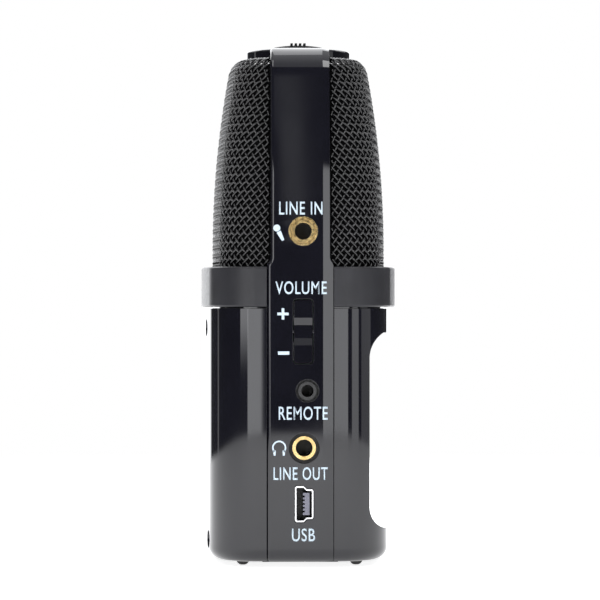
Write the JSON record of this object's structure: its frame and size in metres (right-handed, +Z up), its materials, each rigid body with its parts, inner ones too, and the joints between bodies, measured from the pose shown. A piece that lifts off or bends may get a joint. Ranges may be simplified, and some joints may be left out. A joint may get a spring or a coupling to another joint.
{
  "type": "handheld voice recorder",
  "caption": "Pocket sound recorder with a domed wire grille over its microphones, two side spines with jacks and controls, a display recess and a swing-open battery cover.",
  "frame": {"origin": "middle of the footprint, on the plane the feet rest on", "axes": "+Z up, -Y display side, +Y speaker and battery side, -X jack side, +X control side"},
  "size_m": [0.0686, 0.0428, 0.1138],
  "materials": {
    "gloss_black": "gloss black moulding",
    "matte_black": "fine matte black moulding",
    "satin_collar": "satin dark grey",
    "wire_mesh": "black coated woven wire",
    "foam": "open cell foam",
    "brass": "polished brass",
    "steel": "nickel plated steel",
    "dark_steel": "black oxide steel",
    "green_board": "solder mask",
    "window": "clear gloss",
    "display": "reflective display",
    "amber": "film",
    "cell_wrap": "printed sleeve",
    "card_blue": "moulded card",
    "rubber": "soft",
    "paper_cone": "pressed paper",
    "red_lens": "translucent"
  },
  "bodies": {
    "body": {"front_shell": "gloss_black", "rear_shell": "gloss_black", "left_spine": "gloss_black", "right_spine": "gloss_black", "front_band": "satin_collar", "rear_band": "satin_collar", "front_grille": "wire_mesh", "rear_grille": "wire_mesh", "front_foam": "foam", "rear_foam": "foam", "mic_chassis": "matte_black", "capsule_holder": "matte_black", "mid_capsule": "steel", "side_capsule_left": "steel", "side_capsule_right": "steel", "xy_capsule_left": "steel", "xy_capsule_right": "steel", "top_plate": "gloss_black", "mode_switch": "steel", "line_in_jack": "matte_black", "line_in_bushing": "brass", "line_out_jack": "matte_black", "line_out_bushing": "brass", "remote_jack": "matte_black", "usb_port": "steel", "volume_switches": "steel", "jack_board": "green_board", "gain_potentiometer": "steel", "menu_switch": "steel", "play_encoder": "steel", "power_switch": "steel", "control_board": "green_board", "card_hinge_pin": "dark_steel", "card_socket": "steel", "memory_card": "card_blue", "display_window": "window", "display_module": "display", "rec_switch": "steel", "status_light": "red_lens", "main_board": "green_board", "tripod_insert": "steel", "dc_jack": "matte_black", "battery_tray": "matte_black", "battery_springs": "steel", "battery_contacts": "steel", "battery_cells": "cell_wrap", "speaker": "paper_cone", "ribbon_cable": "amber", "shell_screws": "dark_steel", "feet": "rubber"},
    "mode_dial": {"mode_dial": "matte_black"},
    "volume_rocker": {"volume_rocker": "gloss_black"},
    "gain_wheel": {"gain_wheel": "matte_black"},
    "menu_button": {"menu_button": "matte_black"},
    "play_stem": {"play_stem": "matte_black"},
    "play_switch": {"play_switch": "matte_black"},
    "power_slider": {"power_slider": "matte_black"},
    "rec_button": {"rec_button": "matte_black"},
    "battery_cover": {"battery_cover": "gloss_black"},
    "card_cover": {"card_cover": "gloss_black"}
  },
  "joints": [
    {"name": "mode_dial_turn", "type": "hinge", "parent": "body", "child": "mode_dial", "pos_m": [0, 0, 0.1125], "axis": [0, 0, 1], "range_deg": [0, 90]},
    {"name": "volume_rock", "type": "hinge", "parent": "body", "child": "volume_rocker", "pos_m": [-0.0325, -0.0006, 0.0503], "axis": [0, 1, 0], "range_deg": [-3, 3], "stiffness_Nm_per_rad": 0.01},
    {"name": "gain_turn", "type": "hinge", "parent": "body", "child": "gain_wheel", "pos_m": [0.0264, 0, 0.071], "axis": [0, 1, 0], "range_deg": [-140, 140]},
    {"name": "menu_press", "type": "slide", "parent": "body", "child": "menu_button", "axis": [-1, 0, 0], "range_m": [0, 0.0004], "stiffness_N_per_m": 400},
    {"name": "play_press", "type": "slide", "parent": "body", "child": "play_stem", "axis": [-1, 0, 0], "range_m": [0, 0.0004], "stiffness_N_per_m": 400},
    {"name": "play_rock", "type": "hinge", "parent": "play_stem", "child": "play_switch", "pos_m": [0.033, 0, 0.0476], "axis": [0, 1, 0], "range_deg": [-6, 6], "stiffness_Nm_per_rad": 0.01},
    {"name": "power_slide", "type": "slide", "parent": "body", "child": "power_slider", "axis": [0, 0, 1], "range_m": [-0.0016, 0.0016]},
    {"name": "rec_press", "type": "slide", "parent": "body", "child": "rec_button", "axis": [0, 1, 0], "range_m": [0, 0.0004], "stiffness_N_per_m": 400},
    {"name": "battery_cover_swing", "type": "hinge", "parent": "body", "child": "battery_cover", "pos_m": [0, 0.019, 0.0034], "axis": [-1, 0, 0], "range_deg": [0, 75]},
    {"name": "card_cover_swing", "type": "hinge", "parent": "body", "child": "card_cover", "pos_m": [0.03285, -0.0026, 0.0074], "axis": [0, 1, 0], "range_deg": [0, 100]}
  ]
}
